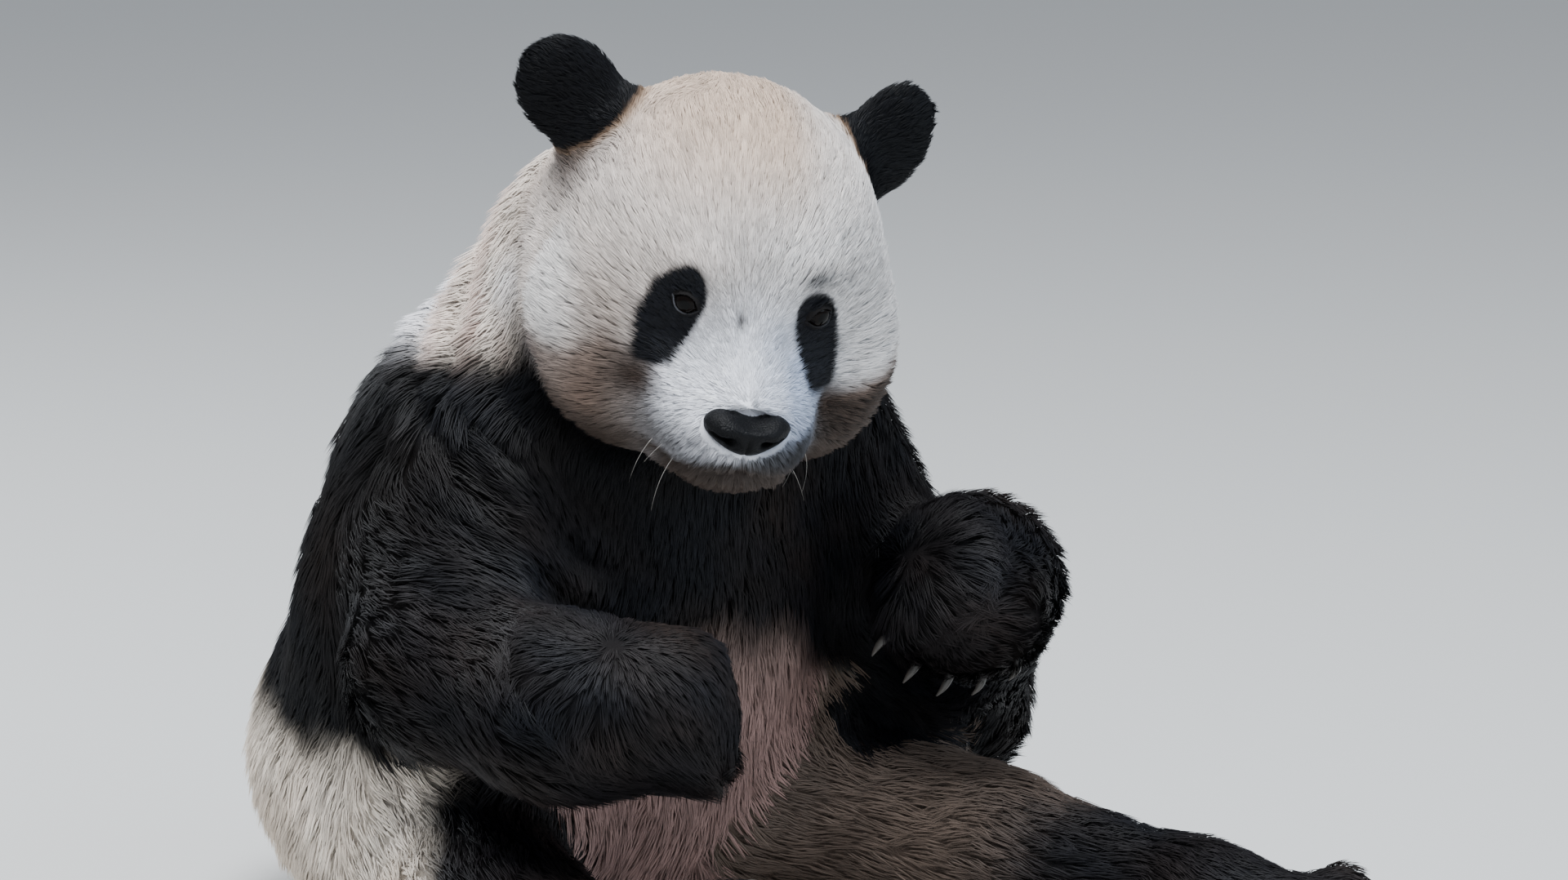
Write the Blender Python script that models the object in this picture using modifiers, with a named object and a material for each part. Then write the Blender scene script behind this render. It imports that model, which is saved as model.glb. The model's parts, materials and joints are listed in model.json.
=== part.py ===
"""Giant panda sitting on the ground, a still life-size model.

The animal sits on its rump with the hind legs stretched out in front, the back
rounded and the head bowed and turned a little to its right.  The right fist is held
level over the right knee, and the left elbow rests beside the left knee with the
forearm upright and the hand hanging from the wrist.

Frame: metres, +Z up, the floor at Z = 0.  The animal faces -Y, so +X is its left.
The origin is on the floor, in the middle of the flat that the rump sits on.

Every size runs out to the tips of the coat.  The flesh is a soft union of named body
forms, each of them a ball or a limb.  The union is meshed once, thinned, set down on
the floor and then parted into its anatomical pieces by thin cuts.
"""

import math

import bmesh
import bpy
import numpy as np
from mathutils import Matrix, Vector

# ---------------------------------------------------------------- driving dimensions

HEAD_CENTRE = Vector((-0.016, -0.347, 0.620))
HEAD_TURN = -27.0  # degrees, towards the animal's right
HEAD_BOW = 21.0  # degrees, nose down
HEAD_TILT = 8.3  # degrees, left ear down

VOXEL = 0.007  # mesh size of the union
BODY_TRIANGLES = 3900
CUT = 0.0004  # width of the cuts that part the body
GAP = 0.0003  # clearance between a set-in piece and the flesh

COAT_BLACK = (0.012, 0.012, 0.014)
COAT_CREAM = (0.72, 0.64, 0.54)
COAT_BROWN = (0.27, 0.17, 0.12)
HORN = (0.42, 0.38, 0.33)
EYE = (0.02, 0.012, 0.008)
NOSE = (0.010, 0.010, 0.012)

EYE_AT = (0.0545, -0.1185, 0.0350)  # left eye, in the head's frame
EYE_RADIUS = 0.0135
NOSE_AT = (0.0, -0.190, -0.046)
NOSE_RADII = (0.037, 0.023, 0.021)


# ---------------------------------------------------------------- body forms


class Ball:
    """An ellipsoid form: centre, three radii, and a turn about its centre."""

    hollow = False

    def __init__(self, centre, radii, turn=None, melt=0.05):
        self.centre = np.array(centre, float)
        self.radii = np.array(radii, float)
        self.turn = np.array(turn if turn is not None else Matrix.Identity(3), float)
        self.melt = melt

    def distance(self, points):
        local = (points - self.centre) @ self.turn
        near = np.linalg.norm(local / self.radii, axis=1)
        slope = np.linalg.norm(local / self.radii**2, axis=1)
        return near * (near - 1) / np.maximum(slope, 1e-9)

    def add_seed(self, bm):
        place = Matrix.Translation(self.centre) @ Matrix(self.turn.tolist()).to_4x4()
        scale = Matrix.Diagonal((*self.radii, 1))
        bmesh.ops.create_icosphere(bm, subdivisions=3, radius=1, matrix=place @ scale)


class Limb:
    """A tapered round form between two joints."""

    hollow = False

    def __init__(self, start, end, start_radius, end_radius, melt=0.04):
        self.start, self.end = np.array(start, float), np.array(end, float)
        self.start_radius, self.end_radius = start_radius, end_radius
        self.melt = melt

    def distance(self, points):
        along = self.end - self.start
        share = np.clip((points - self.start) @ along / (along @ along), 0, 1)
        axis = self.start + share[:, None] * along
        radius = self.start_radius + share * (self.end_radius - self.start_radius)
        return np.linalg.norm(points - axis, axis=1) - radius

    def add_seed(self, bm):
        for share in np.linspace(0, 1, 6):
            place = Matrix.Translation(self.start + share * (self.end - self.start))
            radius = self.start_radius + share * (self.end_radius - self.start_radius)
            bmesh.ops.create_icosphere(bm, subdivisions=2, radius=radius, matrix=place)


def melted(forms, points):
    """Signed distance to the soft union of a group of forms, less its hollows."""
    total = forms[0].distance(points)
    for form in forms[1:]:
        side = -1 if form.hollow else 1
        other = side * form.distance(points)
        share = np.maximum(form.melt - np.abs(total - other), 0) / form.melt
        nearer = np.maximum(total, other) if form.hollow else np.minimum(total, other)
        total = nearer - side * share**2 * form.melt / 4
    return total


def flesh(groups, points):
    """Signed distance to the whole body.  Groups only touch where they share forms."""
    return np.min([melted(forms, points) for forms in groups.values()], axis=0)


# ---------------------------------------------------------------- the head's own frame


def head_matrix():
    """From the head's frame (x to its left, -y to its nose, z up) to the world."""
    turn = Matrix.Rotation(math.radians(HEAD_TURN), 4, "Z")
    bow = Matrix.Rotation(math.radians(HEAD_BOW), 4, "X")
    tilt = Matrix.Rotation(math.radians(HEAD_TILT), 4, "Y")
    return Matrix.Translation(HEAD_CENTRE) @ turn @ bow @ tilt


def on_head(x, y, z):
    return head_matrix() @ Vector((x, y, z))


def head_turn(pitch=0.0, yaw=0.0, roll=0.0):
    """A rotation in the head's frame, in degrees, brought into the world."""
    own = Matrix.Rotation(math.radians(yaw), 3, "Z")
    own = own @ Matrix.Rotation(math.radians(pitch), 3, "X")
    own = own @ Matrix.Rotation(math.radians(roll), 3, "Y")
    return head_matrix().to_3x3() @ own


def head_forms():
    """The skull with its cheeks, brow and muzzle, the eye hollows and the two ears."""
    turn = head_turn()
    forms = [
        # the coat of the crown stands a little fuller on the right
        Ball(on_head(-0.002, 0.012, 0.021), (0.141, 0.145, 0.158), head_turn(roll=-14)),
        Ball(on_head(0, -0.035, 0.040), (0.112, 0.105, 0.105), turn, melt=0.05),
    ]
    for side in (-1, 1):
        forms += [
            Ball(on_head(side * 0.086, -0.026, -0.044), (0.076, 0.090, 0.083), turn, 0.05),
            Ball(on_head(side * 0.064, -0.062, -0.084), (0.062, 0.068, 0.052), turn, 0.04),
        ]
    forms += [
        Ball(on_head(0, -0.092, -0.018), (0.058, 0.066, 0.052), head_turn(pitch=22), 0.04),
        Ball(on_head(0, -0.128, -0.048), (0.060, 0.078, 0.047), head_turn(pitch=16), 0.035),
        Ball(on_head(0, -0.152, -0.070), (0.066, 0.052, 0.043), turn, 0.03),
        Ball(on_head(0, -0.120, -0.102), (0.056, 0.060, 0.032), head_turn(pitch=6), 0.025),
    ]
    for side in (-1, 1):
        hollow = Ball(on_head(side * 0.060, -0.170, 0.019), (0.030, 0.034, 0.030), turn, 0.03)
        hollow.hollow = True
        forms.append(hollow)
    # the left ear is let down a little further than the right
    forms += [
        Ball(
            on_head(-0.149, 0.062, 0.130),
            (0.056, 0.022, 0.063),
            head_turn(yaw=-14, roll=-36),
            melt=0.02,
        ),
        Ball(
            on_head(0.138, 0.062, 0.116),
            (0.052, 0.022, 0.067),
            head_turn(yaw=14, roll=6),
            melt=0.02,
        ),
    ]
    return forms


# ---------------------------------------------------------------- trunk and limbs


def trunk_forms():
    """Rump, belly, chest and shoulders, one above the other, and the tail."""
    forms = [
        Ball((0, -0.010, 0.150), (0.245, 0.235, 0.172)),
        Ball((0, -0.080, 0.255), (0.232, 0.228, 0.195), melt=0.08),
        Ball((0, -0.130, 0.375), (0.210, 0.198, 0.175), melt=0.08),
        Ball((0, -0.165, 0.480), (0.172, 0.158, 0.120), melt=0.07),
    ]
    for side in (-1, 1):
        forms += [
            Ball((side * 0.115, -0.120, 0.405), (0.095, 0.115, 0.125), melt=0.07),
            Ball((side * 0.200, -0.100, 0.300), (0.064, 0.090, 0.110), melt=0.07),
        ]
    forms.append(Limb((0, 0.165, 0.095), (0, 0.225, 0.045), 0.046, 0.040, melt=0.03))
    return forms


def neck_forms():
    return [Limb((0, -0.150, 0.500), (-0.010, -0.245, 0.618), 0.148, 0.138, melt=0.07)]


ARMS = {
    "right": {
        "shoulder": (-0.128, -0.140, 0.435),
        "elbow": (-0.242, -0.245, 0.292),
        "wrist": (-0.223, -0.397, 0.274),
        "palm": (-0.168, -0.453, 0.274),
    },
    "left": {
        "shoulder": (0.196, -0.158, 0.437),
        "elbow": (0.362, -0.183, 0.176),
        "wrist": (0.278, -0.335, 0.315),
        "palm": (0.235, -0.372, 0.312),
    },
}
LEGS = {
    "right": {
        "hip": (-0.135, -0.060, 0.118),
        "knee": (-0.235, -0.320, 0.074),
        "ankle": (-0.215, -0.520, 0.054),
        "sole": (-0.203, -0.578, 0.080),
    },
    "left": {
        "hip": (0.130, -0.070, 0.118),
        "knee": (0.270, -0.350, 0.074),
        "ankle": (0.345, -0.575, 0.054),
        "sole": (0.365, -0.640, 0.050),
    },
}
# The middle knuckle of each paw, the way along its row of knuckles (first to fifth
# digit), the way its digits point and the way their claws bend.
PAWS = {
    "hand_right": ((-0.138, -0.474, 0.268), (0.30, -0.10, -0.95), (0.80, 0.30, -0.35), (-0.1, 1.0, 0.1)),
    "hand_left": ((0.214, -0.394, 0.292), (0.74, -0.50, -0.30), (-0.34, -0.20, -0.92), (-0.2, 0.8, -0.5)),
    "foot_right": ((-0.200, -0.596, 0.112), (-1.0, 0.15, 0.05), (0.05, -0.45, 0.89), (0.0, -0.9, -0.42)),
    "foot_left": ((0.382, -0.672, 0.052), (0.93, 0.20, 0.25), (0.25, -0.96, 0.08), (0.1, -0.5, -0.86)),
}
DIGITS = 5
DIGIT_SPACING = 0.0250
DIGIT_RADIUS = 0.0275
DIGIT_LENGTH = 0.030
# How far the outer digits stand back from the middle one, over the square of their place
# in the row: a closed hand is rounder than a foot.
SET_BACK = {"hand": 0.0060, "foot": 0.0035}
CLAW_LENGTH = 0.030
CLAW_RADIUS = 0.0060


def paw_rows(paw):
    """For each digit of a paw: its knuckle, its tip and the two ways of its claw."""
    knuckle, across, ahead, bend = (Vector(v) for v in PAWS[paw])
    ahead.normalize()
    across = (across - across.dot(ahead) * ahead).normalized()
    bend = (bend - bend.dot(ahead) * ahead).normalized()
    rows = []
    for i in range(DIGITS):
        off = i - (DIGITS - 1) / 2
        fan = (ahead + across * off * 0.10).normalized()
        back = SET_BACK[paw.split("_")[0]] * off**2
        root = knuckle + across * off * DIGIT_SPACING - ahead * back
        tip = root + fan * DIGIT_LENGTH + bend * 0.006
        rows.append((root, tip, fan, bend))
    return rows


def paw_forms(paw):
    return [
        Limb(root, tip, DIGIT_RADIUS + 0.002, DIGIT_RADIUS - 0.003, melt=0.012)
        for root, tip, _, _ in paw_rows(paw)
    ]


def upper_arm(side):
    arm = ARMS[side]
    return Limb(arm["shoulder"], arm["elbow"], 0.108, 0.080, melt=0.07)


def arm_forms(side):
    arm = ARMS[side]
    return [
        upper_arm(side),
        Limb(arm["elbow"], arm["wrist"], 0.082, 0.080),
        Limb(arm["wrist"], arm["palm"], 0.079, 0.075),
        *paw_forms(f"hand_{side}"),
    ]


def thigh(side):
    leg = LEGS[side]
    return Limb(leg["hip"], leg["knee"], 0.121, 0.080, melt=0.06)


def leg_forms(side):
    leg = LEGS[side]
    return [
        thigh(side),
        Limb(leg["knee"], leg["ankle"], 0.080, 0.057),
        Limb(leg["ankle"], leg["sole"], 0.058, 0.052),
        *paw_forms(f"foot_{side}"),
    ]


def body_groups():
    """Groups of forms that melt together; two groups join where they share a form."""
    groups = {
        "trunk": trunk_forms() + neck_forms() + [upper_arm(s) for s in ARMS]
        + [thigh(s) for s in LEGS],
        "head": neck_forms() + head_forms(),
    }
    for side in ("right", "left"):
        groups[f"arm_{side}"] = arm_forms(side)
        groups[f"leg_{side}"] = leg_forms(side)
    return groups


# ---------------------------------------------------------------- meshing the union


def evaluated_mesh(obj):
    graph = bpy.context.evaluated_depsgraph_get()
    return bpy.data.meshes.new_from_object(obj.evaluated_get(graph))


def with_modifier(obj, kind, **settings):
    """Applies one modifier to obj and returns obj."""
    modifier = obj.modifiers.new(kind.title(), kind)
    for name, value in settings.items():
        setattr(modifier, name, value)
    made = evaluated_mesh(obj)
    obj.modifiers.clear()
    obj.data = made
    return obj


def coordinates(mesh):
    found = np.empty(len(mesh.vertices) * 3)
    mesh.vertices.foreach_get("co", found)
    return found.reshape(-1, 3)


def settle(obj, groups, steps=4):
    """Moves every vertex along the slope of the soft union until it lies on it."""
    points = coordinates(obj.data)
    reach = 0.0005
    corners = np.array([(1, 1, 1), (1, -1, -1), (-1, 1, -1), (-1, -1, 1)], float)
    for _ in range(steps):
        slope = sum(
            corner * flesh(groups, points + reach * corner)[:, None] for corner in corners
        ) / (4 * reach)
        steep = np.maximum((slope**2).sum(1), 0.25)
        points -= slope * (flesh(groups, points) / steep)[:, None]
    obj.data.vertices.foreach_set("co", points.ravel())
    obj.data.update()


def seed_mesh(groups):
    bm = bmesh.new()
    forms = {id(f): f for group in groups.values() for f in group}
    for form in forms.values():
        form.add_seed(bm)
    mesh = bpy.data.meshes.new("seed")
    bm.to_mesh(mesh)
    bm.free()
    return mesh


def whole_body(groups):
    """One closed mesh of the soft union of all the forms."""
    body = bpy.data.objects.new("body", seed_mesh(groups))
    bpy.context.scene.collection.objects.link(body)
    for _ in range(2):
        with_modifier(body, "REMESH", mode="VOXEL", voxel_size=VOXEL)
        settle(body, groups)
    return body


def seated(body):
    """Smooths the creases, thins the mesh and cuts it flat where it meets the floor."""
    with_modifier(body, "SMOOTH", factor=0.5, iterations=5)
    share = BODY_TRIANGLES / (2 * len(body.data.polygons))
    with_modifier(body, "DECIMATE", ratio=share)
    floor = region_solid("floor", [((0, 0, 0), (0, 0, 1))], 0)
    carve(body, floor, "DIFFERENCE")
    return body


# ---------------------------------------------------------------- parting the body


def region_solid(name, planes, grow):
    """The part of a 4 m cube behind every plane (point, outward normal), grown a little."""
    bm = bmesh.new()
    bmesh.ops.create_cube(bm, size=4)
    for point, outward in planes:
        outward = Vector(outward).normalized()
        at = Vector(point) + outward * grow
        geometry = bm.verts[:] + bm.edges[:] + bm.faces[:]
        cut = bmesh.ops.bisect_plane(
            bm, geom=geometry, plane_co=at, plane_no=outward, clear_outer=True, dist=1e-7
        )
        edges = [e for e in cut["geom_cut"] if isinstance(e, bmesh.types.BMEdge)]
        bmesh.ops.edgenet_fill(bm, edges=edges)
    bmesh.ops.recalc_face_normals(bm, faces=bm.faces)
    return new_object(name, bm)


def new_object(name, bm):
    mesh = bpy.data.meshes.new(name)
    bm.to_mesh(mesh)
    bm.free()
    obj = bpy.data.objects.new(name, mesh)
    bpy.context.scene.collection.objects.link(obj)
    return obj


def carve(obj, tool, operation):
    """Boolean of obj with tool, which is used up."""
    with_modifier(obj, "BOOLEAN", operation=operation, object=tool, solver="EXACT")
    bpy.data.objects.remove(tool)


def part_off(body, name, planes):
    """Parts the region behind the planes off the body as a piece of its own."""
    piece = bpy.data.objects.new(name, body.data.copy())
    bpy.context.scene.collection.objects.link(piece)
    carve(piece, region_solid("region", planes, 0), "INTERSECT")
    carve(body, region_solid("region", planes, CUT), "DIFFERENCE")
    return piece


def across(start, end, share):
    """The plane across a limb at a share of its length, facing back to its start."""
    start, end = Vector(start), Vector(end)
    return (start.lerp(end, share), start - end)


def head_plane(point, outward):
    return (on_head(*point), head_turn() @ Vector(outward))


def level(z, up):
    return ((0, 0, z), (0, 0, 1 if up else -1))


def regions():
    """Name, coat colour and bounding planes of every flesh piece, in parting order."""
    made = []
    for side, s in (("right", -1), ("left", 1)):
        made.append((f"ear_{side}", COAT_BLACK, [
            head_plane((s * 0.118, 0, 0.1005), (-s * 0.65, 0, -0.76)),
            head_plane((0, 0.005, 0), (0, -1, 0)),
        ]))
    made.append(("head", COAT_CREAM, [((0, -0.290, 0.560), (0, 0.85, -0.5)), level(0.425, False)]))
    made.append(("neck", COAT_CREAM, [((0, -0.169, 0.524), (0, 0.30, -0.95))]))
    made.append(("tail", COAT_CREAM, [across((0, 0.165, 0.095), (0, 0.225, 0.045), 0.7)]))

    arm, leg = ARMS["right"], LEGS["right"]
    made += [
        ("hand_right", COAT_BLACK, [
            across(arm["wrist"], arm["palm"], 0), level(0.160, False), ((0, -0.340, 0), (0, 1, 0)),
            ((-0.060, 0, 0), (1, 0, 0)), ((0, -0.560, 0), (0, -1, 0)),
        ]),
        ("forearm_right", COAT_BLACK, [
            across(arm["elbow"], arm["wrist"], 0.25), level(0.182, False), ((-0.130, 0, 0), (1, 0, 0)),
        ]),
        ("upper_arm_right", COAT_BLACK, [
            ((-0.200, -0.209, 0.36), (0.80, 0.55, 0)), level(0.202, False),
        ]),
    ]
    arm = ARMS["left"]
    fold = ((0.300, -0.215, 0.270), (-0.30, 0.86, 0.40))
    made += [
        ("hand_left", COAT_BLACK, [
            across(arm["wrist"], arm["palm"], 0), level(0.215, False),
            ((0.165, -0.305, 0.300), (-0.35, 0.94, 0)),
        ]),
        ("forearm_left", COAT_BLACK, [
            across(arm["elbow"], arm["wrist"], 0.2), fold, ((0.190, 0, 0), (-1, 0, 0)),
            level(0.168, False),
        ]),
        ("upper_arm_left", COAT_BLACK, [
            ((0.222, -0.165, 0.300), (-0.90, 0.35, -0.20)),
            ((0.306, -0.213, 0.142), (-0.786, -0.382, -0.486)),
        ]),
    ]
    for side, s in (("right", -1), ("left", 1)):
        leg = LEGS[side]
        own = ((s * 0.010, 0, 0), (-s, 0, 0))
        made += [
            (f"foot_{side}", COAT_BLACK, [across(leg["knee"], leg["ankle"], 0.88), level(0.2, True), own]),
            (f"shin_{side}", COAT_BLACK, [across(leg["knee"], leg["ankle"], 0.15), level(0.2, True), own]),
            (f"thigh_{side}", COAT_BLACK, [
                across(leg["hip"], leg["knee"], 0.35), own, level(0.24, True),
                ((s * 0.130, -0.290, 0.170), (-s * 0.75, 0, 0.66)),
            ]),
        ]
    made += [
        ("chest", COAT_BLACK, [((0, -0.120, 0.360), (0, 0.40, -0.92))]),
        ("abdomen", COAT_BROWN, [((0, -0.060, 0.220), (0, 0.40, -0.92))]),
    ]
    return made


# ---------------------------------------------------------------- set-in pieces


def add_claw(bm, tip, ahead, bend, grow):
    """A curved tapering claw of four sides from inside the digit's tip."""
    start = tip + ahead * (DIGIT_RADIUS - 0.012 - grow)
    side = ahead.cross(bend).normalized()
    rings = []
    for share, radius in ((0.0, 1.0), (0.42, 0.92), (0.78, 0.55)):
        centre = start + ahead * CLAW_LENGTH * share + bend * CLAW_LENGTH * 0.55 * share**2
        rings.append([
            bm.verts.new(
                centre
                + (side * math.cos(a) * 0.8 + bend * math.sin(a)) * (CLAW_RADIUS * radius + grow)
            )
            for a in (math.tau * k / 4 for k in range(4))
        ])
    point = bm.verts.new(start + ahead * (CLAW_LENGTH + 2 * grow) + bend * CLAW_LENGTH * 0.60)
    bm.faces.new(rings[0][::-1])
    for low, high in zip(rings, rings[1:]):
        for k in range(4):
            bm.faces.new((low[k], low[(k + 1) % 4], high[(k + 1) % 4], high[k]))
    for k in range(4):
        bm.faces.new((rings[-1][k], rings[-1][(k + 1) % 4], point))
    bmesh.ops.recalc_face_normals(bm, faces=bm.faces)


def add_ball(bm, centre, radii, turn, grow):
    place = Matrix.Translation(centre) @ turn.to_4x4()
    scale = Matrix.Diagonal((*(r + grow for r in radii), 1))
    bmesh.ops.create_uvsphere(
        bm, u_segments=12, v_segments=7, radius=1, matrix=place @ scale
    )


def set_in_pieces():
    """Name, colour and maker of the eyes, nose and claws; a maker takes (bm, grow)."""
    made = []
    x, y, z = EYE_AT
    for side, s in (("right", -1), ("left", 1)):
        where = (on_head(s * x, y, z), (EYE_RADIUS,) * 3, head_turn(pitch=90))
        made.append((f"eye_{side}", EYE, add_ball, where))
    made.append(("nose", NOSE, add_ball, (on_head(*NOSE_AT), NOSE_RADII, head_turn())))
    for paw in PAWS:
        for i, (_, tip, ahead, bend) in enumerate(paw_rows(paw), 1):
            made.append((f"claw_{paw}_{i}", HORN, add_claw, (tip, ahead, bend)))
    return made


def painted(obj, colour):
    name = "horn" if colour == HORN else obj.name.split("_")[0]
    material = bpy.data.materials.get(name) or bpy.data.materials.new(name)
    material.use_nodes = True
    shader = material.node_tree.nodes["Principled BSDF"]
    shader.inputs["Base Color"].default_value = (*colour, 1)
    shader.inputs["Roughness"].default_value = 0.3 if colour in (EYE, NOSE, HORN) else 0.8
    obj.data.materials.clear()
    obj.data.materials.append(material)


def main():
    for obj in list(bpy.data.objects):
        bpy.data.objects.remove(obj)
    body = seated(whole_body(body_groups()))
    seats = bmesh.new()
    for name, colour, maker, where in set_in_pieces():
        maker(seats, *where, GAP)
        bm = bmesh.new()
        maker(bm, *where, 0)
        painted(new_object(name, bm), colour)
    carve(body, new_object("seats", seats), "DIFFERENCE")
    for name, colour, planes in regions():
        painted(part_off(body, name, planes), colour)
    body.name = "pelvis"
    painted(body, COAT_CREAM)


if __name__ == "__main__":
    main()
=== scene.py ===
"""The looks of a sitting giant panda: skin, coat, eyes, nose, claws and whiskers.

One skin is drawn over the flesh of the CAD frame and lies inside it by the depth of
the coat.  The coat is solid mesh: thin bent tufts rooted on the skin, which follow the
lie of the fur from the nose back over the body and out along the limbs.  Skin and tufts
take their colour from the same functions of place.

Sizes are in metres.  The head is worked on in its own frame, found from the eyes and
the nose: x to the animal's left, -y out along the muzzle, z up.
"""

import json
import math

import bmesh
import bpy
import numpy as np
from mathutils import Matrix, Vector
from mathutils.bvhtree import BVHTree
from mathutils.kdtree import KDTree


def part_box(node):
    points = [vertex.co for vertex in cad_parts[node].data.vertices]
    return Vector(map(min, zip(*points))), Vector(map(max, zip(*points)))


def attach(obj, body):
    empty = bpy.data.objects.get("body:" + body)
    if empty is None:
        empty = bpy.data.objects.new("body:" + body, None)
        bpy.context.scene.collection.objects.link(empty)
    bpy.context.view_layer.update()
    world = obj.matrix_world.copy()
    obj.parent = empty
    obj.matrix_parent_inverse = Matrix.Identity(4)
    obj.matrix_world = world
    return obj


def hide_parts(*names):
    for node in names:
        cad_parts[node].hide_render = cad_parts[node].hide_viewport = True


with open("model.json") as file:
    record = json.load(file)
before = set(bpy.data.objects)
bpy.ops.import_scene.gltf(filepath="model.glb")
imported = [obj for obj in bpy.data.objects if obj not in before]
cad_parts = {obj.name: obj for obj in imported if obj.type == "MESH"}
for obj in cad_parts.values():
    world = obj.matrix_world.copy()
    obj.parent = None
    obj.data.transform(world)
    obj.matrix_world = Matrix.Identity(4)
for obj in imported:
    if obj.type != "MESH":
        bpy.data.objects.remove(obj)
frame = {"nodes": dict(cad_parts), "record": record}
record = frame["record"]

# ---- sizes

SKIN_VOXEL = 0.0063
NODE_OVERLAP = 0.0006  # closes the gaps between the nodes before they are joined
SKIN_FLOOR = 0.0015  # the skin and the tufts stay this far over the floor
TUFT_FLOOR = 0.0012
ROOT_DEPTH = 0.0012  # of a tuft's root under the skin
HEAD_REACH = 0.235  # from the head's origin to the end of its coat
FINER_ROUND_EYE = (0.032, 0.026, 0.019)  # how far out each round of finer skin goes
DIGIT_BALLS = ((0.013, 0.0235), (0.034, 0.026))  # how far behind a claw, and the radius
EYE_IN_HEAD = np.array([0.0545, -0.1185, 0.0350])  # the left eye
NOSE_IN_HEAD = np.array([0.0, -0.190, -0.046])
EYE_RADIUS = 0.0140
EYE_DEPTH = 0.0078  # from the skin in to the eye's centre
LID = 0.0016  # thickness of the eyelids
LID_BLEND = 0.0035  # how softly the lids run out into the face
APERTURE = (0.0118, 0.0078, 0.0070)  # half length, height above and below the axis
APERTURE_SLANT = math.radians(18)  # inner corner down
NOSE_SIZE = (0.0385, 0.0215, 0.0185, 0.0220)  # half width and depth, height over and under
CLAW_RADIUS = 0.0040
CLAW_SIDES = 10
WHISKER_RADIUS = 0.00022
WHISKER_LENGTHS = (0.020, 0.056, 0.026, 0.040)

EARS_IN_HEAD = (  # centres of the right and left ears, and how far their black goes
    ((-0.153, 0.060, 0.136), (0.067, 0.053, 0.062)),
    ((0.140, 0.060, 0.117), (0.060, 0.050, 0.069)),
)


def rgb(*values):
    return np.array(values)


# Colours in linear light: the coat's own, then those of the body, the head, and the
# eyes, nose, claws and whiskers.
CREAM = rgb(0.77, 0.69, 0.60)
WHITE = rgb(0.82, 0.83, 0.89)
TAN = rgb(0.46, 0.33, 0.20)
BLACK = rgb(0.0046, 0.0050, 0.0068)
BLACK_BROWN = rgb(0.0150, 0.0100, 0.0078)

SOILED = rgb(0.40, 0.29, 0.19)
BELLY_LOW = rgb(0.300, 0.190, 0.168)
BELLY_HIGH = rgb(0.190, 0.135, 0.110)
NECK_CREAM = rgb(0.82, 0.70, 0.61)
NECK_PINK = rgb(0.56, 0.36, 0.31)
NECK_CREASE_GREY_AND_SHADE = rgb(0.115, 0.100, 0.098)
NAPE = rgb(0.95, 0.90, 0.88)
LEG_BROWN = rgb(0.120, 0.088, 0.070)

CROWN = rgb(0.48, 0.34, 0.24)
WARM_CREAM = rgb(0.58, 0.45, 0.36)
TEMPLE = rgb(0.33, 0.25, 0.20)
CHEEK_EDGE = rgb(0.81, 0.785, 0.765)
STAIN_OUTER = rgb(0.190, 0.128, 0.098)
STAIN_INNER = rgb(0.060, 0.035, 0.023)
STAIN_AND_SHADE_LOW_LEFT = rgb(0.019, 0.013, 0.010)
STAIN_CORE = rgb(0.034, 0.020, 0.014)
MUZZLE_SHADE = rgb(0.49, 0.55, 0.66)
BROW_WRINKLE = rgb(0.055, 0.058, 0.062)
BRIDGE_WRINKLE = rgb(0.11, 0.105, 0.105)
CHIN_BROWN_AND_SHADE = rgb(0.030, 0.025, 0.022)
LIPS = rgb(0.006, 0.005, 0.005)
WHISKER_PAD = rgb(0.085, 0.087, 0.095)
MOUTH_CORNER = rgb(0.100, 0.092, 0.088)
GREY_AND_SHADE_UNDER_NOSE = rgb(0.014, 0.013, 0.013)
SHADE_UNDER_JAW = rgb(0.070, 0.053, 0.044)
EAR_EDGE = rgb(0.20, 0.13, 0.085)
EAR_BASE = rgb(0.30, 0.20, 0.13)
UNDER_EAR = rgb(0.105, 0.080, 0.068)

LID_MARGIN = rgb(0.010, 0.009, 0.009)
RIM_HIGHLIGHT = rgb(0.085, 0.088, 0.100)
EYE_WHITE = rgb(0.0080, 0.0070, 0.0070)
IRIS = rgb(0.0035, 0.0022, 0.0017)
PUPIL = rgb(0.002, 0.002, 0.002)
LEATHER = rgb(0.0022, 0.0023, 0.0030)
HORN_ROOT = rgb(0.030, 0.027, 0.025)
HORN_TIP = rgb(0.090, 0.082, 0.072)
WHISKER = rgb(0.50, 0.47, 0.43)

# For each kind of flesh node: depth of the coat over the skin, length and width of its
# tufts, tufts per square metre, and how steeply they rise.
DEPTH, LENGTH, WIDTH, DENSITY, STEEPNESS = range(5)
COAT = {
    "head": (0.0075, 0.020, 0.00105, 260000, 0.31),
    "ear": (0.0060, 0.0125, 0.0009, 330000, 0.32),
    "neck": (0.0120, 0.034, 0.0015, 140000, 0.34),
    "chest": (0.0130, 0.040, 0.0015, 110000, 0.32),
    "abdomen": (0.0120, 0.036, 0.0015, 90000, 0.32),
    "pelvis": (0.0130, 0.038, 0.0017, 80000, 0.34),
    "tail": (0.0165, 0.034, 0.0017, 80000, 0.30),
    "upper_arm": (0.0125, 0.040, 0.0015, 110000, 0.32),
    "forearm": (0.0115, 0.036, 0.0014, 130000, 0.32),
    "hand": (0.0110, 0.034, 0.0013, 160000, 0.33),
    "thigh": (0.0125, 0.038, 0.0016, 90000, 0.33),
    "shin": (0.0110, 0.034, 0.0016, 90000, 0.32),
    "foot": (0.0080, 0.020, 0.0014, 120000, 0.30),
}
MUZZLE_COAT = np.array([0.0046, 0.0115, 0.0008, 800000, 0.31])  # next to the nose
FACE_COAT = np.array([0.0075, 0.0190, 0.0012, 420000, 0.29])  # away from it
NEAT_STEEPNESS = 0.315  # flatter fur than this is combed more evenly

# ---- small helpers


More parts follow.
